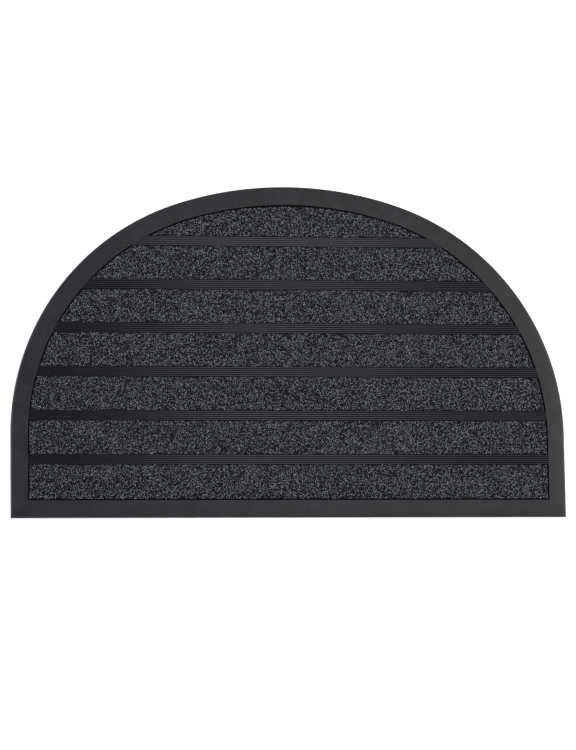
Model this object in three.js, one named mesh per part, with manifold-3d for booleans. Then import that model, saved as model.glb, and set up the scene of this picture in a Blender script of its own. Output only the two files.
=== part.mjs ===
// Half round doormat: a moulded rubber tray with a sloping border and six
// ribbed scraper bars, and seven strips of carpet laid in the beds between them.
//
// Frame: millimetres, +X along the straight edge, +Y from the straight edge to
// the top of the round, +Z up. The origin is under the middle of the mat's box,
// on the ground.

import * as THREE from "three";
import { mergeVertices } from "three/addons/utils/BufferGeometryUtils.js";
import Module from "manifold-3d";

const wasm = await Module();
wasm.setup();

// Driving dimensions. The round is one wide crown arc, which runs into a tighter
// shoulder arc on each side, and that into a straight side. The bed inside the
// border has the same form with arcs of its own, so the border is a little wider
// at the crown than at the sides.
const mat = { width: 750, depth: 450, crownRadius: 470, shoulderRadius: 330 };
const bed = { sideBorder: 22.8, crownBorder: 25.1, footBorder: 23.1, crownRadius: 453, shoulderRadius: 309 };
const border = { height: 6.4, edgeHeight: 3.8, bevel: 1.6, bevelRise: 0.8 };
const tray = { floor: 2 };
const bars = { count: 6, firstFromTop: 75.9, pitch: 59.25, width: 12.2, height: 6.2 };
const grooves = { perBar: 4, pitch: 2.75, mouth: 1.3, foot: 0.4, depth: 1.6 };
const carpet = { barGap: 0.9, borderGap: 1.8, floorGap: 0.3, top: 7.4, softEdge: 1 };

// Chords in the crown's half and in each shoulder.
const steps = { crown: 8, shoulder: 18 };

const rubberFinish = new THREE.MeshStandardMaterial({ color: 0x343437, roughness: 0.62, metalness: 0 });
const carpetFinish = new THREE.MeshStandardMaterial({ color: 0x3b3d40, roughness: 0.95, metalness: 0 });

const halfWidth = mat.width / 2;
const halfDepth = mat.depth / 2;
const { crownRadius, shoulderRadius } = mat;
const matRound = { side: halfWidth, top: halfDepth, foot: -halfDepth, crownRadius, shoulderRadius };
const bedRound = {
  side: halfWidth - bed.sideBorder,
  top: halfDepth - bed.crownBorder,
  foot: bed.footBorder - halfDepth,
  crownRadius: bed.crownRadius,
  shoulderRadius: bed.shoulderRadius,
};

// The outline of a round, moved in by a distance. The arcs keep their centres,
// and every outline has the same number of points.
function outline(round, inset) {
  const spread = round.crownRadius - round.shoulderRadius;
  const shoulderX = round.side - round.shoulderRadius;
  const join = Math.asin(shoulderX / spread);
  const crownY = round.top - round.crownRadius;
  const shoulderY = crownY + spread * Math.cos(join);
  const right = [new THREE.Vector2(round.side - inset, round.foot + inset)];
  const arc = (centreX, centreY, radius, from, to, count) => {
    for (let i = 0; i < count; i++) {
      const angle = THREE.MathUtils.lerp(from, to, i / count);
      const reach = radius - inset;
      right.push(new THREE.Vector2(centreX + reach * Math.sin(angle), centreY + reach * Math.cos(angle)));
    }
  };
  arc(shoulderX, shoulderY, round.shoulderRadius, Math.PI / 2, join, steps.shoulder);
  arc(0, crownY, round.crownRadius, join, 0, steps.crown);
  const top = new THREE.Vector2(0, round.top - inset);
  const left = right.map((p) => new THREE.Vector2(-p.x, p.y)).reverse();
  return [...right, top, ...left];
}

// A closed body through a stack of outlines, each moved in by inset and lifted
// to z, with a flat cap on the first and the last.
function stackOf(levels) {
  const rings = levels.map(({ round, inset }) => outline(round, inset));
  const size = rings[0].length;
  const positions = rings.flatMap((ring, k) => ring.flatMap((p) => [p.x, p.y, levels[k].z]));
  const faces = [];
  for (let k = 0; k + 1 < rings.length; k++) {
    for (let i = 0; i < size; i++) {
      const a = k * size + i;
      const b = k * size + ((i + 1) % size);
      faces.push(a, b, b + size, a, b + size, a + size);
    }
  }
  const cap = THREE.ShapeUtils.triangulateShape(rings[0], []);
  const last = (rings.length - 1) * size;
  for (const [a, b, c] of cap) faces.push(a, c, b, last + a, last + b, last + c);
  const geometry = new THREE.BufferGeometry();
  geometry.setAttribute("position", new THREE.Float32BufferAttribute(positions, 3));
  geometry.setIndex(faces);
  return geometry;
}

// A section in Y and Z, run along X right across the mat.
function runAcross(section) {
  const shape = new THREE.Shape(section.map(([y, z]) => new THREE.Vector2(y, z)));
  const geometry = new THREE.ExtrudeGeometry(shape, { depth: mat.width, bevelEnabled: false });
  geometry.translate(0, 0, -halfWidth);
  const axes = new THREE.Matrix4().makeBasis(
    new THREE.Vector3(0, 1, 0),
    new THREE.Vector3(0, 0, 1),
    new THREE.Vector3(1, 0, 0),
  );
  return geometry.applyMatrix4(axes);
}

function solidOf(geometry) {
  geometry.deleteAttribute("normal");
  geometry.deleteAttribute("uv");
  const merged = mergeVertices(geometry, 1e-4);
  return new wasm.Manifold(
    new wasm.Mesh({
      numProp: 3,
      vertProperties: merged.attributes.position.array,
      triVerts: new Uint32Array(merged.index.array),
    }),
  );
}

function meshOf(name, solid, finish) {
  const { vertProperties, triVerts } = solid.getMesh();
  const geometry = new THREE.BufferGeometry();
  geometry.setAttribute("position", new THREE.BufferAttribute(vertProperties, 3));
  geometry.setIndex(new THREE.BufferAttribute(triVerts, 1));
  geometry.computeVertexNormals();
  const mesh = new THREE.Mesh(geometry, finish);
  mesh.name = name;
  return mesh;
}

// The middle of each scraper bar, from the round top down.
const firstMiddle = halfDepth - bars.firstFromTop;
const barMiddles = Array.from({ length: bars.count }, (_, i) => firstMiddle - i * bars.pitch);

// One bar's section: straight sides, and a flat top with narrowing grooves in
// it, which leave a ridge on each side of every groove.
function barSection(middle) {
  const foot = tray.floor / 2;
  const valley = bars.height - grooves.depth;
  const [low, high] = [middle - bars.width / 2, middle + bars.width / 2];
  const points = [[low, foot], [high, foot], [high, bars.height]];
  for (let i = grooves.perBar - 1; i >= 0; i--) {
    const y = middle + (i - (grooves.perBar - 1) / 2) * grooves.pitch;
    points.push([y + grooves.mouth / 2, bars.height]);
    points.push([y + grooves.foot / 2, valley]);
    points.push([y - grooves.foot / 2, valley]);
    points.push([y - grooves.mouth / 2, bars.height]);
  }
  points.push([low, bars.height]);
  return points;
}

// The tray: floor, border and bars out of one mould. The bars' ends run a
// little way into the border, so they are one body with it.
function makeRubberBase() {
  const bevelTop = border.edgeHeight + border.bevelRise;
  let solid = solidOf(
    stackOf([
      { round: matRound, inset: 0, z: 0 },
      { round: matRound, inset: 0, z: border.edgeHeight },
      { round: matRound, inset: border.bevel, z: bevelTop },
      { round: bedRound, inset: 0, z: border.height },
      { round: bedRound, inset: 0, z: tray.floor },
    ]),
  );
  const reach = solidOf(
    stackOf([
      { round: bedRound, inset: -1, z: 0 },
      { round: bedRound, inset: -1, z: bars.height + 1 },
    ]),
  );
  for (const middle of barMiddles) {
    solid = solid.add(solidOf(runAcross(barSection(middle))).intersect(reach));
  }
  return solid;
}

// A strip of carpet between two heights in Y, cut to the round with a soft
// upper edge, and clear of the rubber all round.
function makeCarpet(low, high) {
  const foot = tray.floor + carpet.floorGap;
  const softFrom = carpet.top - carpet.softEdge;
  const inset = carpet.borderGap;
  const strip = solidOf(
    runAcross([
      [low, foot],
      [high, foot],
      [high, softFrom],
      [high - carpet.softEdge, carpet.top],
      [low + carpet.softEdge, carpet.top],
      [low, softFrom],
    ]),
  );
  const round = solidOf(
    stackOf([
      { round: bedRound, inset, z: foot - 1 },
      { round: bedRound, inset, z: softFrom },
      { round: bedRound, inset: inset + carpet.softEdge, z: carpet.top },
      { round: bedRound, inset: inset + carpet.softEdge, z: carpet.top + 1 },
    ]),
  );
  return strip.intersect(round);
}

const doormat = new THREE.Group();
doormat.add(meshOf("rubber_base", makeRubberBase(), rubberFinish));

// The carpet strips lie between the border's inner edge and the bars, a little
// clear of both.
const barClear = bars.width / 2 + carpet.barGap;
const upperEdges = [bedRound.top - carpet.borderGap, ...barMiddles.map((y) => y - barClear)];
const lowerEdges = [...barMiddles.map((y) => y + barClear), bedRound.foot + carpet.borderGap];
upperEdges.forEach((upper, i) => {
  doormat.add(meshOf(`carpet_${i + 1}`, makeCarpet(lowerEdges[i], upper), carpetFinish));
});

export default doormat;
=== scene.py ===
"""Half round doormat: a moulded rubber tray with a sloping border, six ribbed
scraper bars across it, and seven strips of curled pile carpet between them.

Lengths are in metres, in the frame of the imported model: +X along the straight
edge, +Y towards the top of the round, +Z up from the ground.
"""

import math
from collections import namedtuple

import bpy
import numpy as np
from bpy.props import FloatProperty, FloatVectorProperty, IntProperty, PointerProperty
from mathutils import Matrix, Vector


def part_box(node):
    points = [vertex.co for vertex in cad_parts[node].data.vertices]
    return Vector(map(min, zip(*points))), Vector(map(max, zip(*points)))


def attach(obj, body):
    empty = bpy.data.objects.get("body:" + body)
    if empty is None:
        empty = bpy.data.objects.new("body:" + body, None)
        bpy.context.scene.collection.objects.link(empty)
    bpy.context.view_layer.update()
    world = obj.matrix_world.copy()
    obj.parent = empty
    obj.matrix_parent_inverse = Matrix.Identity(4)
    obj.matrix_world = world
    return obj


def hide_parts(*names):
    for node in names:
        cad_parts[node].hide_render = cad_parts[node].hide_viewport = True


bl_info = {
    "name": "Half round doormat",
    "version": (1, 0, 0),
    "blender": (4, 5, 0),
    "location": "3D View > Sidebar > Doormat",
    "description": "Builds a rubber doormat with scraper bars and carpet strips, on a plain stage",
    "category": "Add Mesh",
}

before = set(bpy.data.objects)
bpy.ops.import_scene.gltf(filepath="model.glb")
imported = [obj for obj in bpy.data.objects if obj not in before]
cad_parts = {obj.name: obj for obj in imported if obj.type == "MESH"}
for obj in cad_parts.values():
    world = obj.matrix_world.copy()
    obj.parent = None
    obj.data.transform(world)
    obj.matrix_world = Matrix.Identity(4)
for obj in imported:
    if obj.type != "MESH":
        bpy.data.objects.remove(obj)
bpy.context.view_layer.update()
tray_low, tray_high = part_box("rubber_base")
STRIP_NODES = sorted(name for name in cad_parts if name.startswith("carpet_"))


# Sizes and colours that a user would change

def length(name, description, default):
    return FloatProperty(name=name, description=description, default=default, unit="LENGTH", precision=5)


def colour(name, description, default):
    return FloatVectorProperty(
        name=name, description=description, default=default, subtype="COLOR", size=3, min=0, max=1
    )


class OutlineSizes(bpy.types.PropertyGroup):
    """The mat's outline: a wide crown arc, a tighter shoulder arc on each side, then straight sides."""

    width: length("Width", "Length of the straight edge", tray_high.x - tray_low.x)
    depth: length("Depth", "From the straight edge to the top of the round", tray_high.y - tray_low.y)
    crown_radius: length("Crown radius", "Radius of the wide arc at the top", 0.470)
    shoulder_radius: length("Shoulder radius", "Radius of the arc on each side", 0.330)


class BedSizes(bpy.types.PropertyGroup):
    """The bed inside the border, a round with arcs of its own."""

    side_border: length("Side border", "Width of the border at the straight sides", 0.0228)
    crown_border: length("Crown border", "Width of the border at the top of the round", 0.0251)
    foot_border: length("Foot border", "Width of the border along the straight edge", 0.0231)
    crown_radius: length("Crown radius", "Radius of the wide arc at the top", 0.453)
    shoulder_radius: length("Shoulder radius", "Radius of the arc on each side", 0.309)


class TraySizes(bpy.types.PropertyGroup):
    """The section of the moulded tray: its floor and the sloping border round it."""

    border_height: length("Border height", "At the border's inner edge", tray_high.z)
    edge_height: length("Edge height", "Upright part of the outer edge", 0.0038)
    bevel: length("Bevel", "Width of the steep slope above the outer edge", 0.0016)
    bevel_rise: length("Bevel rise", "Height of that slope", 0.0008)
    edge_round: length("Edge rounding", "Rounding above and below the steep slope", 0.0006)
    inner_round: length("Inner rounding", "Rounding of the border's inner edge", 0.0003)
    foot_round: length("Foot rounding", "Rounding at the ground and where floor and wall meet", 0.0004)
    floor: length("Floor", "Thickness of the tray's floor", 0.002)


class BarSizes(bpy.types.PropertyGroup):
    """The scraper bars and the fine ridges on them."""

    count: IntProperty(name="Bars", description="Scraper bars across the mat", default=6, min=1)
    first_from_top: length("First bar", "From the top of the round to the first bar's middle", 0.0759)
    pitch: length("Pitch", "From one bar's middle to the next", 0.05925)
    width: length("Width", "From one side of a bar to the other", 0.0122)
    height: length("Height", "From the ground to the ridges' tops", 0.0062)
    grooves: IntProperty(name="Grooves", description="Grooves along each bar", default=4, min=1)
    groove_pitch: length("Groove pitch", "From one groove to the next", 0.00275)
    groove_mouth: length("Groove mouth", "Width of a groove at its top", 0.0013)
    groove_foot: length("Groove foot", "Width of a groove at its foot", 0.0004)
    groove_depth: length("Groove depth", "From the ridges' tops to a groove's foot", 0.0016)
    edge_round: length("Edge rounding", "Rounding of a bar's two long edges", 0.0003)
    ridge_round: length("Ridge rounding", "Rounding of the ridges' edges and the grooves' feet", 0.00015)


class CarpetSizes(bpy.types.PropertyGroup):
    """The strips of carpet, without their pile."""

    bar_gap: length("Bar gap", "Between a strip and the bars beside it", 0.0009)
    border_gap: length("Border gap", "Between a strip and the border", 0.0018)
    floor_gap: length("Floor gap", "Between a strip and the tray's floor", 0.0003)
    thickness: length("Thickness", "Backing and the dense foot of the pile", 0.0026)
    cell: length("Cell", "Spacing of the points on a strip's upper side", 0.004)
    lumps: length("Lumps", "How far the upper side rises and falls", 0.0006)
    lump_size: length("Lump size", "From one lump to the next", 0.006)


class PileSizes(bpy.types.PropertyGroup):
    """The curled strands that stand on each strip."""

    spacing: length("Spacing", "Least distance from one strand's middle to the next", 0.00115)
    edge_gap: length("Edge gap", "From a strip's edge to the nearest strand's middle", 0.0005)
    strand: length("Strand", "Length of a strand as seen from above", 0.0019)
    thickness: length("Thickness", "Thickness of a strand at its middle", 0.00096)
    rise: length("Rise", "Height of a strand's arch above the carpet's foot", 0.0024)
    root: length("Root", "How far a strand's ends sink into the foot", 0.0005)
    curl: FloatProperty(name="Curl", description="Largest turn of a strand", default=3.4, subtype="ANGLE")
    steps: IntProperty(name="Steps", description="Straight steps along a strand", default=3, min=2)


class Finishes(bpy.types.PropertyGroup):
    """Colours of the rubber and of the pile."""

    rubber: colour("Rubber", "The tray's border", (0.0125, 0.0127, 0.0134))
    bar_rubber: colour("Bar rubber", "The smoother, darker bars", (0.0062, 0.006, 0.0068))
    # Painted shade: the bars' grooves and sides are given this darker colour
    groove_rubber: colour("Shaded groove rubber", "The bars' grooves and sides", (0.0012, 0.0012, 0.0014))
    # Painted shade: the tray's floor and the wall down to it are darkened to stand for the shade in the gaps
    bed_rubber: colour("Shaded bed rubber", "The tray's floor, deep in shade", (0.0024, 0.0024, 0.0027))
    # Paler colours for the top bar: its ridges and its grooves are lighter than those of the other bars
    top_bar_rubber: colour("Top bar rubber", "The top bar, paler than the rest", (0.013, 0.013, 0.0145))
    top_bar_grooves: colour("Top bar grooves", "The top bar's grooves, where dust lies", (0.025, 0.0248, 0.027))
    dust: colour("Dust", "Specks of dust on the border", (0.16, 0.16, 0.16))
    # Painted shade: the foot of the pile is given a near-black colour to stand for the shade among the
    # strands
    ground: colour("Ground", "Foot of the pile, in shade", (0.004, 0.0042, 0.0048))
    strand_dark: colour("Dark strands", "Darkest strands of the pile", (0.005, 0.0053, 0.006))
    strand_light: colour("Light strands", "Palest strands of the pile", (0.422, 0.443, 0.457))
    strand_warm: colour("Warm tint", "Tint of the strands that lean to red", (1.0, 0.93, 1.0))
    strand_cool: colour("Cool tint", "Tint of the strands that lean to green", (0.88, 1.0, 1.0))
    dots_across: length("Dots across", "Spacing of the embossed dots along X", 0.0052)
    dots_along: length("Dots along", "Spacing of the embossed dots along Y", 0.00276)
    dots_height: length("Dots' height", "Height of the embossed dots", 0.00012)


class StageSettings(bpy.types.PropertyGroup):
    """Floor, light and camera."""

    floor: colour("Floor", "The pale floor", (0.9, 0.9, 0.9))
    glow: FloatProperty(name="Glow", description="Strength of the light from within the floor", default=0.4)
    sky: FloatProperty(name="Sky", description="Strength of the even light from all round", default=0.085)
    middle_panel: FloatProperty(name="Middle panel", description="Its radiance", default=1.35)
    side_panel: FloatProperty(name="Side panel", description="Its radiance", default=0.57)
    right: FloatProperty(name="Right softbox", description="Its power in watts", default=66)
    left: FloatProperty(name="Left softbox", description="Its power in watts", default=71)
    front: FloatProperty(name="Front softbox", description="Its power in watts", default=16)
    back: FloatProperty(name="Back softbox", description="Its power in watts", default=20)
    lens: FloatProperty(name="Lens", description="Focal length in mm", default=152.61)


class DoormatSettings(bpy.types.PropertyGroup):
    """Everything that a user would change."""

    outline: PointerProperty(type=OutlineSizes)
    bed: PointerProperty(type=BedSizes)
    tray: PointerProperty(type=TraySizes)
    bars: PointerProperty(type=BarSizes)
    carpet: PointerProperty(type=CarpetSizes)
    pile: PointerProperty(type=PileSizes)
    finishes: PointerProperty(type=Finishes)
    stage: PointerProperty(type=StageSettings)


# Node trees as Python expressions

class Value:
    """An output socket that takes part in sums as a number does."""

    def __init__(self, graph, socket):
        self.graph = graph
        self.socket = socket

    def __add__(self, other):
        return self.graph.math("ADD", self, other)

    def __sub__(self, other):
        return self.graph.math("SUBTRACT", self, other)

    def __rsub__(self, other):
        return self.graph.math("SUBTRACT", other, self)

    def __mul__(self, other):
        return self.graph.math("MULTIPLY", self, other)

    def __truediv__(self, other):
        return self.graph.math("DIVIDE", self, other)

    def __rtruediv__(self, other):
        return self.graph.math("DIVIDE", other, self)

    def __pow__(self, other):
        return self.graph.math("POWER", self, other)

    def __gt__(self, other):
        return self.graph.math("GREATER_THAN", self, other)

    __radd__ = __add__
    __rmul__ = __mul__


class Made:
    """A node that was just made; its outputs are read by name or number."""

    def __init__(self, graph, node):
        self.graph = graph
        self.node = node

    def __getitem__(self, key):
        return Value(self.graph, pick(self.node.outputs, key))


def pick(sockets, key):
    """A socket by its number, or the one in use that has that name."""
    if isinstance(key, int):
        return sockets[key]
    return next(s for s in sockets if s.name == key and s.enabled)


class Graph:
    """Builds a node tree. Every node comes from node()."""

    def __init__(self, tree):
        self.tree = tree
        tree.nodes.clear()

    def node(self, kind, settings=None, sockets=None):
        """A new node of a kind, with its settings, then the numbers or links that feed its sockets.

        The setting "captures" lists what a Capture Attribute node holds, by name and socket type.
        """
        made = self.tree.nodes.new(kind)
        for name, setting in (settings or {}).items():
            if name == "captures":
                for item, socket_type in setting.items():
                    made.capture_items.new(socket_type, item)
            else:
                setattr(made, name, setting)
        for key, fed in (sockets or {}).items():
            socket = pick(made.inputs, key)
            if isinstance(fed, Value):
                self.tree.links.new(fed.socket, socket)
            else:
                socket.default_value = fed
        return Made(self, made)

    def math(self, operation, *operands):
        return self.node("ShaderNodeMath", {"operation": operation}, dict(enumerate(operands)))[0]

    def sine(self, angle):
        return self.math("SINE", angle)

    def cosine(self, angle):
        return self.math("COSINE", angle)

    def root(self, square):
        return self.math("SQRT", self.math("MAXIMUM", square, 0))

    def point(self, x, y, z):
        return self.node("ShaderNodeCombineXYZ", {}, {"X": x, "Y": y, "Z": z})["Vector"]

    def parts(self, vector):
        split = self.node("ShaderNodeSeparateXYZ", {}, {"Vector": vector})
        return split["X"], split["Y"], split["Z"]

    def blend(self, amount, first, second, how="MIX"):
        return self.node(
            "ShaderNodeMix",
            {"data_type": "RGBA", "blend_type": how},
            {"Factor": amount, "A": first, "B": second},
        )["Result"]


# Building meshes

# Edges that turn more than this stay sharp on the rubber
SHARP_ANGLE = math.radians(50)


def settings():
    return bpy.context.scene.doormat


def mesh_of(name, points, faces):
    mesh = bpy.data.meshes.new(name)
    mesh.from_pydata([tuple(map(float, p)) for p in points], [], faces)
    mesh.validate()
    return mesh


def add_piece(name, mesh, stands_for=()):
    """A finished piece of the mat, at the origin, that rides on the mat's one body."""
    piece = bpy.data.objects.new(name, mesh)
    bpy.context.scene.collection.objects.link(piece)
    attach(piece, "root")
    if stands_for:
        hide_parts(*stands_for)
    return piece


def grown(name, mesh, tree, values):
    """The plain mesh that a geometry tree makes of a mesh."""
    carrier = bpy.data.objects.new(name, mesh)
    bpy.context.scene.collection.objects.link(carrier)
    modifier = carrier.modifiers.new("grow", "NODES")
    modifier.node_group = tree
    for item in tree.interface.items_tree:
        if item.in_out == "INPUT" and item.name in values:
            modifier[item.identifier] = values[item.name]
    depsgraph = bpy.context.evaluated_depsgraph_get()
    result = bpy.data.meshes.new_from_object(carrier.evaluated_get(depsgraph))
    result.name = name
    carrier.modifiers.remove(modifier)
    bpy.data.objects.remove(carrier)
    bpy.data.meshes.remove(mesh)
    return result


def geometry_tree(name, numbers, whole_numbers=()):
    """An empty geometry tree with named inputs, as its graph and a lookup of those inputs."""
    tree = bpy.data.node_groups.new(name, "GeometryNodeTree")
    tree.is_modifier = True
    tree.interface.new_socket("Geometry", in_out="INPUT", socket_type="NodeSocketGeometry")
    tree.interface.new_socket("Geometry", in_out="OUTPUT", socket_type="NodeSocketGeometry")
    for label in numbers:
        tree.interface.new_socket(label, in_out="INPUT", socket_type="NodeSocketFloat")
    for label in whole_numbers:
        tree.interface.new_socket(label, in_out="INPUT", socket_type="NodeSocketInt")
    tree.interface.new_socket("Material", in_out="INPUT", socket_type="NodeSocketMaterial")
    graph = Graph(tree)
    return graph, graph.node("NodeGroupInput")


def close_tree(graph, geometry, inputs):
    """Ends a geometry tree: real geometry in the given material."""
    real = graph.node("GeometryNodeRealizeInstances", {}, {"Geometry": geometry})["Geometry"]
    done = graph.node(
        "GeometryNodeSetMaterial", {}, {"Geometry": real, "Material": inputs["Material"]}
    )["Geometry"]
    graph.node("NodeGroupOutput", {"is_active_output": True}, {"Geometry": done})


def lofted(count, size):
    """Faces of a stack of closed rings of size points each: its sides, ring by ring, and its two ends."""
    sides = [
        (k * size + i, k * size + (i + 1) % size, (k + 1) * size + (i + 1) % size, (k + 1) * size + i)
        for k in range(count - 1)
        for i in range(size)
    ]
    last = (count - 1) * size
    return sides, [tuple(range(size - 1, -1, -1)), tuple(range(last, last + size))]


def rounded(corners, steps=4):
    """The points of a bent line whose corners (u, v, radius) are eased into curves."""
    points = []
    for i, (u, v, radius) in enumerate(corners):
        here = np.array([u, v])
        if radius == 0:
            points.append(here)
            continue
        before = np.array(corners[i - 1][:2]) - here
        after = np.array(corners[(i + 1) % len(corners)][:2]) - here
        start = here + before / np.linalg.norm(before) * radius
        end = here + after / np.linalg.norm(after) * radius
        for t in np.linspace(0, 1, steps + 1):
            points.append((1 - t) ** 2 * start + 2 * t * (1 - t) * here + t * t * end)
    return points


# The round outlines of the mat and of its bed

Round = namedtuple("Round", "side top foot crown_radius shoulder_radius")
ROUND_INPUTS = ("Side", "Top", "Crown radius", "Shoulder radius", "Inset")


def mat_round():
    sizes = settings().outline
    half_depth = sizes.depth / 2
    return Round(sizes.width / 2, half_depth, -half_depth, sizes.crown_radius, sizes.shoulder_radius)


def bed_round():
    around, bed = mat_round(), settings().bed
    return Round(
        around.side - bed.side_border,
        around.top - bed.crown_border,
        around.foot + bed.foot_border,
        bed.crown_radius,
        bed.shoulder_radius,
    )


def bed_values(inset):
    """What fit_to_round() needs to know of the bed, moved in by inset."""
    bed = bed_round()
    return {
        "Side": bed.side,
        "Top": bed.top,
        "Crown radius": bed.crown_radius,
        "Shoulder radius": bed.shoulder_radius,
        "Inset": inset,
    }


def first_bar():
    """The Y of the middle of the bar nearest the top of the round."""
    sizes = settings()
    return sizes.outline.depth / 2 - sizes.bars.first_from_top


def fit_to_round(graph, geometry, inputs):
    """Stretches geometry that runs from -1 to 1 in X out to a round, at each height in Y."""
    crown, shoulder, inset = inputs["Crown radius"], inputs["Shoulder radius"], inputs["Inset"]
    spread = crown - shoulder
    shoulder_x = inputs["Side"] - shoulder
    slope = shoulder_x / spread
    rise = graph.root(1 - slope * slope)
    crown_y = inputs["Top"] - crown
    shoulder_y = crown_y + spread * rise
    join_y = crown_y + (crown - inset) * rise
    x, y, z = graph.parts(graph.node("GeometryNodeInputPosition")["Position"])
    above_shoulder = graph.math("MAXIMUM", y - shoulder_y, 0)
    on_shoulder = shoulder_x + graph.root((shoulder - inset) ** 2 - above_shoulder * above_shoulder)
    on_crown = graph.root((crown - inset) ** 2 - (y - crown_y) ** 2)
    in_crown = y > join_y
    reach = on_crown * in_crown + on_shoulder * (1 - in_crown)
    fitted = {"Geometry": geometry, "Position": graph.point(x * reach, y, z)}
    return graph.node("GeometryNodeSetPosition", {}, fitted)["Geometry"]


# Chords in a straight side, in a shoulder, in half of the crown, and in the whole straight edge
SIDE_STEPS, SHOULDER_STEPS, CROWN_STEPS, FOOT_STEPS = 12, 90, 34, 60


def outline_points(around, inset):
    """A whole round moved in by inset, from its lower right corner over the top and back."""
    spread = around.crown_radius - around.shoulder_radius
    shoulder_x = around.side - around.shoulder_radius
    join = math.asin(shoulder_x / spread)
    crown_y = around.top - around.crown_radius
    shoulder_y = crown_y + spread * math.cos(join)
    side_x, foot_y = around.side - inset, around.foot + inset
    side = [(side_x, y) for y in np.linspace(foot_y, shoulder_y, SIDE_STEPS, endpoint=False)]

    def arc(x, y, radius, start, end, steps):
        angles = np.linspace(start, end, steps, endpoint=False)
        return [(x + radius * math.sin(a), y + radius * math.cos(a)) for a in angles]

    shoulder = arc(shoulder_x, shoulder_y, around.shoulder_radius - inset, math.pi / 2, join, SHOULDER_STEPS)
    crown = arc(0, crown_y, around.crown_radius - inset, join, 0, CROWN_STEPS)
    right = side + shoulder + crown
    left = [(-x, y) for x, y in reversed(right)]
    foot = [(x, foot_y) for x in np.linspace(-side_x, side_x, FOOT_STEPS + 1)[1:-1]]
    return [*right, (0, around.top - inset), *left, *foot]


# Finishes

# Cells per metre of the fine patterns in the rubber, from coarse to fine
BAR_CLOUDS = 14
CLOUDS = 22
MOTTLE = 120
GRIT = 300
DUST = 420
GRAIN = 900
SPECKS = 1400
# Cells per metre, along X, Y and Z, of the streaks that run along the bars
STREAKS = (14, 700, 700)
# Cells per metre of the flecks in the fibre
FLECKS = 780
# Where that pattern is dark and where it is palest, and how light that is against the fibre's own shade
DARK_AT, PALEST_AT, PALEST = 0.43, 0.57, 1.75
# A strand whose draw is under the first is dark, and one whose draw is over the second is light
DARK_UNDER, LIGHT_OVER = 0.15, 0.95
# Strength of each finish's gloss
GLOSS = {
    "border": 0.385,
    "bed": 0.15,
    "grooves": 0.2,
    "ridges": 0.66,
    "ground": 0.2,
    "strands": 0.1,
    "floor": 0.0,
}
RIDGE_GLOSS_TINT = (0.93, 0.92, 1.0, 1.0)


def new_material(name):
    material = bpy.data.materials.new(name)
    material.use_nodes = True
    return material, Graph(material.node_tree)


def close_material(graph, base, roughness, normal=None, fixed=None):
    """Ends a material with one shader; fixed holds what is the same all over the surface."""
    sockets = {"Base Color": base, "Roughness": roughness, **(fixed or {})}
    if normal:
        sockets["Normal"] = normal
    shader = graph.node("ShaderNodeBsdfPrincipled", {}, sockets)
    graph.node("ShaderNodeOutputMaterial", {}, {"Surface": shader["BSDF"]})


def gloss(finish):
    return {"Specular IOR Level": GLOSS[finish]}


def own_place(graph):
    """Each point's place on the mat, in metres."""
    return graph.node("ShaderNodeTexCoord")["Object"]


def noise(graph, place, scale, detail=2.0, roughness=0.5):
    """A soft random pattern about 0.5, with scale cells per metre."""
    return graph.node(
        "ShaderNodeTexNoise",
        {},
        {"Vector": place, "Scale": scale, "Detail": detail, "Roughness": roughness},
    )["Fac"]


def stretched(graph, place, scale):
    """A place that makes a pattern finer by scale along each axis."""
    return graph.node("ShaderNodeMapping", {}, {"Vector": place, "Scale": scale})["Vector"]


def tinted(graph, shade, tone):
    """A colour made lighter or darker by a tone that changes over the surface."""
    grey = graph.node("ShaderNodeCombineColor", {}, {"Red": tone, "Green": tone, "Blue": tone})["Color"]
    return graph.blend(1.0, (*shade, 1), grey, "MULTIPLY")


def relief(graph, height):
    """A normal for a surface that rises by so many metres."""
    return graph.node("ShaderNodeBump", {}, {"Strength": 1.0, "Distance": 1.0, "Height": height})["Normal"]


def rubber_finish():
    """Matt moulded rubber, embossed with staggered dots, with a painted highlight on each dot's raised top
    and painted shade between the dots.
    """
    material, graph = new_material("moulded_rubber")
    place = own_place(graph)
    finishes = settings().finishes
    x, y, _ = graph.parts(place)
    across = graph.cosine(x * (math.tau / finishes.dots_across))
    along = graph.cosine(y * (math.tau / finishes.dots_along))
    dots = across * along
    # Painted highlight and shade: the colour is lighter on the dots' raised tops and dark between them
    dot_highlight_and_shade = (dots * 0.5 + 0.5) ** 2 * 3.2
    cloud = noise(graph, place, CLOUDS, 4)
    mottle = noise(graph, place, MOTTLE, 3)
    speck = noise(graph, place, SPECKS, 1)
    dust = graph.math("MAXIMUM", noise(graph, place, DUST, 1) - 0.7, 0) * 1.2
    tone = (0.1 + cloud * 0.7 + mottle * 1.1) * dot_highlight_and_shade
    base = graph.blend(dust, tinted(graph, finishes.rubber, tone), (*finishes.dust, 1))
    height = dots * finishes.dots_height + speck * 0.000008 + cloud * 0.0004
    roughness = 0.29 + cloud * 0.12 + mottle * 0.14
    close_material(graph, base, roughness, relief(graph, height), gloss("border"))
    return material


def shaded_bed_finish():
    """The same rubber on the tray's floor, dull, and darkened as painted shade between the strips."""
    material, graph = new_material("bed_rubber")
    grit = noise(graph, own_place(graph), GRIT, 3)
    base = tinted(graph, settings().finishes.bed_rubber, 0.6 + grit * 0.8)
    normal = relief(graph, grit * 0.0001)
    close_material(graph, base, 0.75 + grit * 0.2, normal, gloss("bed"))
    return material


def on_top_bar(graph, place):
    """One on the bar nearest the top of the round, and nought on the rest."""
    return graph.parts(place)[1] > first_bar() - settings().bars.pitch / 2


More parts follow.
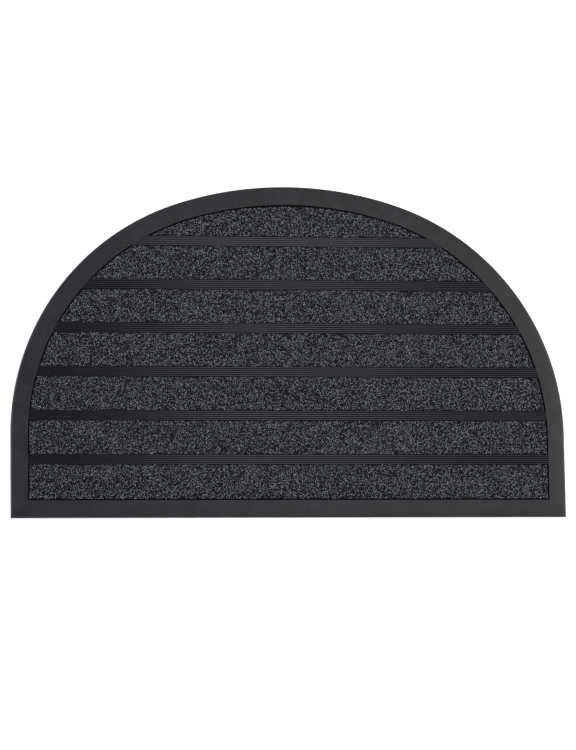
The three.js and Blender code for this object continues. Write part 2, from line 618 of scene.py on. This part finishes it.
def groove_finish():
    """The same rubber in the bars' grooves and on their sides, darkened as painted shade, and paler on the
    top bar.
    """
    material, graph = new_material("groove_rubber")
    finishes = settings().finishes
    place = own_place(graph)
    grit = noise(graph, place, GRIT, 3)
    tone = 0.6 + grit * 0.8
    # Painted shade in the grooves of the lower bars
    other_bars = tinted(graph, finishes.groove_rubber, tone)
    # The top bar's grooves are given a paler colour
    top_bar_groove_colour = tinted(graph, finishes.top_bar_grooves, tone)
    base = graph.blend(on_top_bar(graph, place), other_bars, top_bar_groove_colour)
    normal = relief(graph, grit * 0.00005)
    close_material(graph, base, 0.6 + grit * 0.2, normal, gloss("grooves"))
    return material


def ridge_finish():
    """The same rubber on the bars, smoother, with streaks along the ridges, and paler on the top bar."""
    material, graph = new_material("ridged_rubber")
    place = own_place(graph)
    streak = noise(graph, stretched(graph, place, STREAKS), 1, 2)
    cloud = noise(graph, place, BAR_CLOUDS, 3)
    tone = 0.6 + streak * 0.5 + cloud * 0.3
    finishes = settings().finishes
    other_bars = tinted(graph, finishes.bar_rubber, tone)
    top_bar_colour = tinted(graph, finishes.top_bar_rubber, tone)
    # The top bar is given a paler colour
    base = graph.blend(on_top_bar(graph, place), other_bars, top_bar_colour)
    height = streak * 0.00001 + noise(graph, place, GRAIN, 1) * 0.000006
    fixed = {**gloss("ridges"), "Specular Tint": RIDGE_GLOSS_TINT}
    close_material(graph, base, 0.2 + streak * 0.12, relief(graph, height), fixed)
    return material


def flecks(graph, place):
    """How light the fibre is from place to place: from dark to paler than its own shade."""
    return graph.node(
        "ShaderNodeMapRange",
        {"clamp": True},
        {
            "Value": noise(graph, place, FLECKS, 0),
            "From Min": DARK_AT,
            "From Max": PALEST_AT,
            "To Min": 0.0,
            "To Max": PALEST,
        },
    )["Result"]


def ground_finish():
    """The dense foot of the pile, darkened as painted shade, with the paler fibres showing deep in it."""
    material, graph = new_material("pile_foot")
    finishes = settings().finishes
    fleck = flecks(graph, own_place(graph))
    # The near-black ground colour is painted shade
    base = graph.blend(fleck ** 2 * 0.02, (*finishes.ground, 1), (*finishes.strand_light, 1))
    normal = relief(graph, fleck * 0.0002)
    close_material(graph, base, 0.8 + fleck * 0.1, normal, gloss("ground"))
    return material


def strand_finish():
    """Curled strands: each has its own depth of grey and its own tint."""
    material, graph = new_material("curled_strand")
    finishes = settings().finishes
    tone = graph.node("ShaderNodeAttribute", {"attribute_name": "tone"})["Fac"]
    tint = graph.node("ShaderNodeAttribute", {"attribute_name": "tint"})["Fac"]
    fleck = flecks(graph, own_place(graph))
    paler = graph.node(
        "ShaderNodeMapRange",
        {"interpolation_type": "SMOOTHSTEP"},
        {"Value": tone, "From Min": DARK_UNDER, "From Max": LIGHT_OVER},
    )["Result"]
    grey = graph.blend(paler * fleck, (*finishes.strand_dark, 1), (*finishes.strand_light, 1))
    leaning = graph.blend(tint, (*finishes.strand_warm, 1), (*finishes.strand_cool, 1))
    base = graph.blend(1.0, grey, leaning, "MULTIPLY")
    normal = relief(graph, fleck * 0.00004)
    close_material(graph, base, 0.55 + fleck * 0.2, normal, gloss("strands"))
    return material


# The rubber tray

# How far the section runs in under the mat and over the floor, before one face closes each
UNDERSIDE_RUN, FLOOR_RUN = 0.01, 0.004
# The reach from which a part of the section is inside the bed
IN_BED = 1 - 1e-6


def tray_section():
    """The border's section as (reach, height).

    Reach runs from 0 at the outline to 1 at the bed's edge, and past that in metres into the bed.
    """
    tray = settings().tray
    border = settings().bed.side_border
    points = rounded([
        (UNDERSIDE_RUN, 0, 0),
        (0, 0, tray.foot_round),
        (0, tray.edge_height, tray.edge_round),
        (tray.bevel, tray.edge_height + tray.bevel_rise, tray.edge_round),
        (border, tray.border_height, tray.inner_round),
        (border, tray.floor, tray.foot_round),
        (border + FLOOR_RUN, tray.floor, 0),
    ])
    return [(inset / border, z) if inset <= border else (1 + inset - border, z) for inset, z in points]


def ring_at(reach):
    """The outline part of the way from the mat's edge to the bed's, or past that inside the bed."""
    outer = np.array(outline_points(mat_round(), 0))
    inner = np.array(outline_points(bed_round(), max(reach - 1, 0)))
    share = min(reach, 1)
    return outer * (1 - share) + inner * share


def tray_mesh():
    """The whole tray; its second material, painted shade, is on the floor and the wall down to it."""
    section = tray_section()
    rings = [ring_at(reach) for reach, _ in section]
    size = len(rings[0])
    points = [(x, y, z) for ring, (_, z) in zip(rings, section) for x, y in ring]
    sides, ends = lofted(len(rings), size)
    finish_numbers = [int(reach > IN_BED) for reach, _ in section[:-1] for _ in range(size)] + [0, 1]
    mesh = mesh_of("rubber_tray", points, [*sides, *ends])
    mesh.set_sharp_from_angle(angle=SHARP_ANGLE)
    mesh.materials.append(rubber_finish())
    # The floor's darker finish is painted shade
    mesh.materials.append(shaded_bed_finish())
    mesh.polygons.foreach_set("material_index", finish_numbers)
    return mesh


class DOORMAT_OT_tray(bpy.types.Operator):
    """Build the moulded tray with its border"""

    bl_idname = "doormat.tray"
    bl_label = "Rubber tray"

    def execute(self, context):
        add_piece("rubber_tray", tray_mesh(), ["rubber_base"])
        return {"FINISHED"}


# The scraper bars

# Straight steps along a bar, and how far its ends run into the border
BAR_STEPS, BAR_END = 16, 0.001
# How far below the ridges' tops the painted shade of the grooves starts
RIDGE_TOP = 0.0002


def bar_section():
    """A bar's section about its middle as (offset, height), with its grooves in the top."""
    bars = settings().bars
    foot, half = settings().tray.floor / 2, bars.width / 2
    mouth, bottom = bars.groove_mouth / 2, bars.groove_foot / 2
    low = bars.height - bars.groove_depth
    corners = [(-half, foot, 0), (half, foot, 0), (half, bars.height, bars.edge_round)]
    for i in range(bars.grooves - 1, -1, -1):
        y = (i - (bars.grooves - 1) / 2) * bars.groove_pitch
        groove = [(y + mouth, bars.height), (y + bottom, low), (y - bottom, low), (y - mouth, bars.height)]
        corners += [(*corner, bars.ridge_round) for corner in groove]
    return rounded([*corners, (-half, bars.height, bars.edge_round)], 3)


def unit_bar_mesh():
    """One bar from -1 to 1 in X."""
    section = bar_section()
    points = [(x, y, z) for x in np.linspace(-1, 1, BAR_STEPS + 1) for y, z in section]
    sides, ends = lofted(BAR_STEPS + 1, len(section))
    return mesh_of("unit_bar", points, [*ends, *sides])


def bars_tree():
    """Sets out the bars one below the other and runs each to the border."""
    graph, inputs = geometry_tree("Scraper bars", (*ROUND_INPUTS, "First bar", "Pitch"), ("Bars",))
    middles = graph.node(
        "GeometryNodeMeshLine",
        {},
        {
            "Count": inputs["Bars"],
            "Start Location": graph.point(0, inputs["First bar"], 0),
            "Offset": graph.point(0, inputs["Pitch"] * -1, 0),
        },
    )["Mesh"]
    placed = graph.node(
        "GeometryNodeInstanceOnPoints", {}, {"Points": middles, "Instance": inputs["Geometry"]}
    )["Instances"]
    real = graph.node("GeometryNodeRealizeInstances", {}, {"Geometry": placed})["Geometry"]
    close_tree(graph, fit_to_round(graph, real, inputs), inputs)
    return graph.tree


def darken_below(mesh, height):
    """Gives the grooves and the bars' sides a darker finish that paints their shade."""
    mesh.materials.append(groove_finish())
    for face in mesh.polygons:
        if face.center.z < height:
            face.material_index = len(mesh.materials) - 1


class DOORMAT_OT_bars(bpy.types.Operator):
    """Build the ribbed scraper bars"""

    bl_idname = "doormat.bars"
    bl_label = "Scraper bars"

    def execute(self, context):
        sizes = settings()
        values = {
            **bed_values(-BAR_END),
            "First bar": first_bar(),
            "Pitch": sizes.bars.pitch,
            "Bars": sizes.bars.count,
            "Material": ridge_finish(),
        }
        mesh = grown("scraper_bars", unit_bar_mesh(), bars_tree(), values)
        darken_below(mesh, sizes.bars.height - RIDGE_TOP)
        mesh.set_sharp_from_angle(angle=SHARP_ANGLE)
        add_piece("scraper_bars", mesh, ["rubber_base"])
        return {"FINISHED"}


# The carpet strips

# Points of a strip nearer to each other than this are one
STRIP_WELD = 1e-5


def strip_spans():
    """The lowest and highest Y of each strip, from the round top down, clear of the rubber."""
    sizes = settings()
    bars, bed = sizes.bars, bed_round()
    middles = [first_bar() - i * bars.pitch for i in range(bars.count)]
    clear = bars.width / 2 + sizes.carpet.bar_gap
    tops = [bed.top - sizes.carpet.border_gap, *(y - clear for y in middles)]
    feet = [*(y + clear for y in middles), bed.foot + sizes.carpet.border_gap]
    return list(zip(feet, tops))


def unit_strip_mesh(name, low, high, foot, top, cell, width):
    """A closed slab from -1 to 1 in X with a fine grid on top and one face below."""
    columns, rows = round(width / cell), round((high - low) / cell)
    xs, ys = np.linspace(-1, 1, columns + 1), np.linspace(low, high, rows + 1)
    points = [(x, y, top) for y in ys for x in xs]
    wide = columns + 1
    faces = [
        (j * wide + i, j * wide + i + 1, (j + 1) * wide + i + 1, (j + 1) * wide + i)
        for j in range(rows)
        for i in range(columns)
    ]
    # The upper side's rim, once round from its first corner; the same points again make the underside
    rim = [
        *range(columns),
        *(j * wide + columns for j in range(rows)),
        *(rows * wide + i for i in range(columns, 0, -1)),
        *(j * wide for j in range(rows, 0, -1)),
    ]
    below = len(points)
    points += [(points[i][0], points[i][1], foot) for i in rim]
    for i in range(len(rim)):
        j = (i + 1) % len(rim)
        faces.append((rim[j], rim[i], below + i, below + j))
    faces.append(tuple(range(below + len(rim) - 1, below - 1, -1)))
    return mesh_of(name, points, faces)


def strips_tree():
    """Cuts a strip to the round and roughens its upper side."""
    graph, inputs = geometry_tree("Carpet strip", (*ROUND_INPUTS, "Lumps", "Lump size", "Foot"))
    fitted = fit_to_round(graph, inputs["Geometry"], inputs)
    closed = graph.node(
        "GeometryNodeMergeByDistance", {}, {"Geometry": fitted, "Distance": STRIP_WELD}
    )["Geometry"]
    place = graph.node("GeometryNodeInputPosition")["Position"]
    z = graph.parts(place)[2]
    bumps = graph.node(
        "ShaderNodeTexNoise", {}, {"Vector": place, "Scale": 1 / inputs["Lump size"], "Detail": 2.0}
    )["Fac"]
    lift = (bumps - 0.5) * inputs["Lumps"] * 2 * (z > inputs["Foot"])
    lumpy = graph.node(
        "GeometryNodeSetPosition", {}, {"Geometry": closed, "Offset": graph.point(0, 0, lift)}
    )["Geometry"]
    close_tree(graph, lumpy, inputs)
    return graph.tree


class DOORMAT_OT_carpet(bpy.types.Operator):
    """Build the carpet strips and their pile"""

    bl_idname = "doormat.carpet"
    bl_label = "Carpet strips"

    def execute(self, context):
        sizes = settings()
        foot = sizes.tray.floor + sizes.carpet.floor_gap
        top = foot + sizes.carpet.thickness
        strip_tree, strand_tree = strips_tree(), pile_tree()
        ground, strand = ground_finish(), strand_finish()
        for number, (low, high) in enumerate(strip_spans(), start=1):
            node = STRIP_NODES[number - 1]
            _, cad_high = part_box(node)
            slab = unit_strip_mesh(f"strip_{number}", low, high, foot, top, sizes.carpet.cell, 2 * cad_high.x)
            values = {
                **bed_values(sizes.carpet.border_gap),
                "Lumps": sizes.carpet.lumps,
                "Lump size": sizes.carpet.lump_size,
                "Foot": (foot + top) / 2,
                "Material": ground,
            }
            mesh = grown(f"strip_{number}", slab, strip_tree, values)
            mesh.shade_smooth()
            strip = add_piece(f"carpet_strip_{number}", mesh, [node])
            strands = pile_mesh(number, low, high, top, strand_tree, strand)
            pile = add_piece(f"pile_{number}", strands)
            high - low
        return {"FINISHED"}


# The pile

# Strands that are tried in each square as wide as their spacing, of which those too near others go
CANDIDATES = 4
# Least and greatest share of the set size that a strand draws for itself; the lean's is of the set rise
SPAN_SHARES = (0.65, 1.3)
RISE_SHARES = (0.35, 1.0)
LEAN_SHARES = (-0.7, 0.7)
THICKNESS_SHARES = (0.75, 1.25)
# The least turn of a strand, in radians
LEAST_TURN = 0.6
# Where a strand's arch is lower than this share of its rise, its thickness is nought, so its ends are points
POINTED = 0.01
# Points of a strand nearer to each other than this are one
STRAND_WELD = 1e-6


def pile_tree():
    """Scatters strands over a bed and bends each into its own low curl."""
    names = ("Spacing", "Strand", "Thickness", "Rise", "Root", "Curl")
    graph, inputs = geometry_tree("Curled pile", (*ROUND_INPUTS, *names), ("Seed", "Steps"))
    bed = fit_to_round(graph, inputs["Geometry"], inputs)
    points = graph.node(
        "GeometryNodeDistributePointsOnFaces",
        {"distribute_method": "POISSON"},
        {
            "Mesh": bed,
            "Distance Min": inputs["Spacing"],
            "Density Max": CANDIDATES / (inputs["Spacing"] * inputs["Spacing"]),
            "Seed": inputs["Seed"],
        },
    )["Points"]
    held = graph.node(
        "GeometryNodeCaptureAttribute",
        {"captures": {"Centre": "VECTOR", "Number": "INT"}, "domain": "POINT"},
        {
            "Geometry": points,
            "Centre": graph.node("GeometryNodeInputPosition")["Position"],
            "Number": graph.node("GeometryNodeInputIndex")["Index"],
        },
    )
    # A plain line, whose points are all given their places further on
    line = graph.node("GeometryNodeCurvePrimitiveLine", {}, {"End": (0.0, 0.0, 0.001)})["Curve"]
    stepped = graph.node(
        "GeometryNodeResampleCurve", {}, {"Curve": line, "Count": inputs["Steps"] + 1}
    )["Curve"]
    placed = graph.node(
        "GeometryNodeInstanceOnPoints", {}, {"Points": held["Geometry"], "Instance": stepped}
    )["Instances"]
    strands = graph.node("GeometryNodeRealizeInstances", {}, {"Geometry": placed})["Geometry"]

    def drawn(seed, low, high):
        """A strand's own number between two; each thing drawn has a seed of its own."""
        return graph.node(
            "FunctionNodeRandomValue",
            {"data_type": "FLOAT"},
            {"Min": low, "Max": high, "ID": held["Number"], "Seed": seed},
        )["Value"]

    # Seen from above a strand is an arc of its own turn and span, and from the side a low arch that leans
    along = graph.node("GeometryNodeSplineParameter")["Factor"] - 0.5
    arch = 1 - along * along * 4
    turn = drawn(1, LEAST_TURN, inputs["Curl"])
    side = (drawn(2, 0.0, 1.0) > 0.5) * 2 - 1
    span = inputs["Strand"] * drawn(3, *SPAN_SHARES)
    heading = drawn(4, 0.0, math.tau)
    rise = inputs["Rise"] * drawn(5, *RISE_SHARES)
    lean = inputs["Rise"] * drawn(6, *LEAN_SHARES)
    forward = span * graph.sine(turn * along) / turn
    sideways = side * span * (1 - graph.cosine(turn * along)) / turn
    x, y, z = graph.parts(held["Centre"])
    bent = graph.point(
        x + graph.cosine(heading) * forward - graph.sine(heading) * sideways,
        y + graph.sine(heading) * forward + graph.cosine(heading) * sideways,
        z + rise * arch + lean * along - inputs["Root"],
    )
    curled = graph.node("GeometryNodeSetPosition", {}, {"Geometry": strands, "Position": bent})["Geometry"]
    for label, seed in (("tone", 7), ("tint", 8)):
        curled = graph.node(
            "GeometryNodeStoreNamedAttribute",
            {"data_type": "FLOAT", "domain": "POINT"},
            {"Geometry": curled, "Name": label, "Value": drawn(seed, 0.0, 1.0)},
        )["Geometry"]
    section = graph.node(
        "GeometryNodeCurvePrimitiveCircle", {}, {"Resolution": 3, "Radius": inputs["Thickness"] * 0.5}
    )["Curve"]
    tubes = graph.node(
        "GeometryNodeCurveToMesh",
        {},
        {
            "Curve": curled,
            "Profile Curve": section,
            "Scale": drawn(9, *THICKNESS_SHARES) * (arch > POINTED),
        },
    )["Mesh"]
    pointed = graph.node(
        "GeometryNodeMergeByDistance", {}, {"Geometry": tubes, "Distance": STRAND_WELD}
    )["Geometry"]
    smooth = graph.node("GeometryNodeSetShadeSmooth", {}, {"Geometry": pointed})["Geometry"]
    close_tree(graph, smooth, inputs)
    return graph.tree


def pile_mesh(number, low, high, top, tree, material):
    """The strands of one strip, scattered over a flat bed that is cut to the round."""
    pile, carpet = settings().pile, settings().carpet
    gap = pile.edge_gap
    rows = round((high - low) / carpet.cell)
    ys = np.linspace(low + gap, high - gap, rows + 1)
    points = [(x, y, top) for y in ys for x in (-1, 1)]
    faces = [(2 * j, 2 * j + 1, 2 * j + 3, 2 * j + 2) for j in range(rows)]
    values = {
        **bed_values(carpet.border_gap + gap),
        "Spacing": pile.spacing,
        "Strand": pile.strand,
        "Thickness": pile.thickness,
        "Rise": pile.rise,
        "Root": pile.root,
        "Curl": pile.curl,
        "Seed": number,
        "Steps": pile.steps,
        "Material": material,
    }
    return grown(f"pile_{number}", mesh_of("bed", points, faces), tree, values)


# Floor, light and camera

Panel = namedtuple("Panel", "left right tint")
Softbox = namedtuple("Softbox", "place tint")

# The camera's place and its turn in radians: nearly straight above the mat
CAMERA_PLACE = (-0.5894, -0.6276, 4.2)
CAMERA_TURN = (0.1416, -0.1369, -0.0153)
# The panels' height and their ends in Y; each has its own left and right in X
PANEL_HEIGHT = 0.9
PANEL_NEAR, PANEL_FAR = -0.5, 0.5
PANELS = {
    "middle_panel": Panel(-0.09, 0.28, (0.99, 0.97, 1.01)),
    "side_panel": Panel(0.28, 0.9, (0.99, 0.975, 1.005)),
}
# The side of each square softbox, and where they stand round the mat
SOFTBOX_SIZE = 1.6
SOFTBOXES = {
    "right": Softbox((2.5, 0.3, 1.75), (1.0, 0.98, 1.0)),
    "left": Softbox((-2.5, 0.3, 1.75), (0.97, 0.955, 1.09)),
    "front": Softbox((0.0, -2.6, 1.75), (1.0, 0.98, 1.02)),
    "back": Softbox((0.0, 2.9, 1.75), (1.0, 0.98, 1.02)),
}
SKY_TINT = (0.98, 0.96, 1.08, 1)
# How far the floor reaches each way, and its height: just clear of the mat's underside
FLOOR_REACH, FLOOR_Z = 6, -0.0002


def softbox(name, place, power, tint):
    """A square area light that looks at the middle of the mat."""
    lamp = bpy.data.lights.new(name, "AREA")
    lamp.shape = "SQUARE"
    lamp.size = SOFTBOX_SIZE
    lamp.energy = power
    lamp.color = tint
    holder = bpy.data.objects.new(name, lamp)
    holder.location = place
    holder.rotation_euler = (-Vector(place)).to_track_quat("-Z", "Y").to_euler()
    bpy.context.scene.collection.objects.link(holder)


def panel(name, left, right, radiance, tint):
    """A light panel that hangs flat over the mat, out of the camera's sight."""
    lamp = bpy.data.lights.new(name, "AREA")
    lamp.shape = "RECTANGLE"
    lamp.size, lamp.size_y = right - left, PANEL_FAR - PANEL_NEAR
    lamp.energy = radiance * math.pi * lamp.size * lamp.size_y
    lamp.color = tint
    holder = bpy.data.objects.new(name, lamp)
    holder.location = ((left + right) / 2, (PANEL_NEAR + PANEL_FAR) / 2, PANEL_HEIGHT)
    holder.visible_camera = False
    bpy.context.scene.collection.objects.link(holder)


def make_floor(shade, glow):
    """A pale floor that is lit from within a little, as a light table is."""
    reach, z = FLOOR_REACH, FLOOR_Z
    corners = [(-reach, -reach, z), (reach, -reach, z), (reach, reach, z), (-reach, reach, z)]
    floor = bpy.data.objects.new("floor", mesh_of("floor", corners, [(0, 1, 2, 3)]))
    material, graph = new_material("pale_floor")
    fixed = {**gloss("floor"), "Emission Color": (1, 1, 1, 1), "Emission Strength": glow}
    close_material(graph, (*shade, 1), 0.9, None, fixed)
    floor.data.materials.append(material)
    bpy.context.scene.collection.objects.link(floor)


class DOORMAT_OT_stage(bpy.types.Operator):
    """Set the pale floor, the soft light and the camera"""

    bl_idname = "doormat.stage"
    bl_label = "Stage"

    def execute(self, context):
        stage = settings().stage
        make_floor(stage.floor, stage.glow)
        world = bpy.data.worlds.new("studio")
        world.use_nodes = True
        graph = Graph(world.node_tree)
        sky = graph.node("ShaderNodeBackground", {}, {"Color": SKY_TINT, "Strength": stage.sky})
        graph.node("ShaderNodeOutputWorld", {}, {"Surface": sky["Background"]})
        context.scene.world = world
        for name, (left, right, tint) in PANELS.items():
            panel(name, left, right, getattr(stage, name), tint)
        for name, (place, tint) in SOFTBOXES.items():
            softbox(name, place, getattr(stage, name), tint)
        context.scene.view_settings.view_transform = "Standard"
        camera = bpy.data.objects.new("camera", bpy.data.cameras.new("camera"))
        camera.data.lens = stage.lens
        camera.location = CAMERA_PLACE
        camera.rotation_euler = CAMERA_TURN
        context.scene.collection.objects.link(camera)
        context.scene.camera = camera
        return {"FINISHED"}


class DOORMAT_PT_panel(bpy.types.Panel):
    """Lists the mat's pieces in the sidebar"""

    bl_idname = "DOORMAT_PT_panel"
    bl_label = "Half round doormat"
    bl_space_type = "VIEW_3D"
    bl_region_type = "UI"
    bl_category = "Doormat"

    def draw(self, context):
        for operator in OPERATORS:
            self.layout.operator(operator.bl_idname)
        for group in ("outline", "bed", "tray", "bars", "carpet", "pile", "finishes", "stage"):
            box = self.layout.box()
            box.label(text=group.capitalize())
            sizes = getattr(context.scene.doormat, group)
            for name in sizes.bl_rna.properties.keys():
                if name not in ("rna_type", "name"):
                    box.prop(sizes, name)


OPERATORS = (DOORMAT_OT_tray, DOORMAT_OT_bars, DOORMAT_OT_carpet, DOORMAT_OT_stage)
CLASSES = (
    OutlineSizes,
    BedSizes,
    TraySizes,
    BarSizes,
    CarpetSizes,
    PileSizes,
    Finishes,
    StageSettings,
    DoormatSettings,
    *OPERATORS,
    DOORMAT_PT_panel,
)


def register():
    for cls in CLASSES:
        bpy.utils.register_class(cls)
    bpy.types.Scene.doormat = PointerProperty(type=DoormatSettings)


def unregister():
    del bpy.types.Scene.doormat
    for cls in reversed(CLASSES):
        bpy.utils.unregister_class(cls)


def main():
    register()
    bpy.ops.doormat.tray()
    bpy.ops.doormat.bars()
    bpy.ops.doormat.carpet()
    bpy.ops.doormat.stage()


if __name__ == "__main__":
    main()
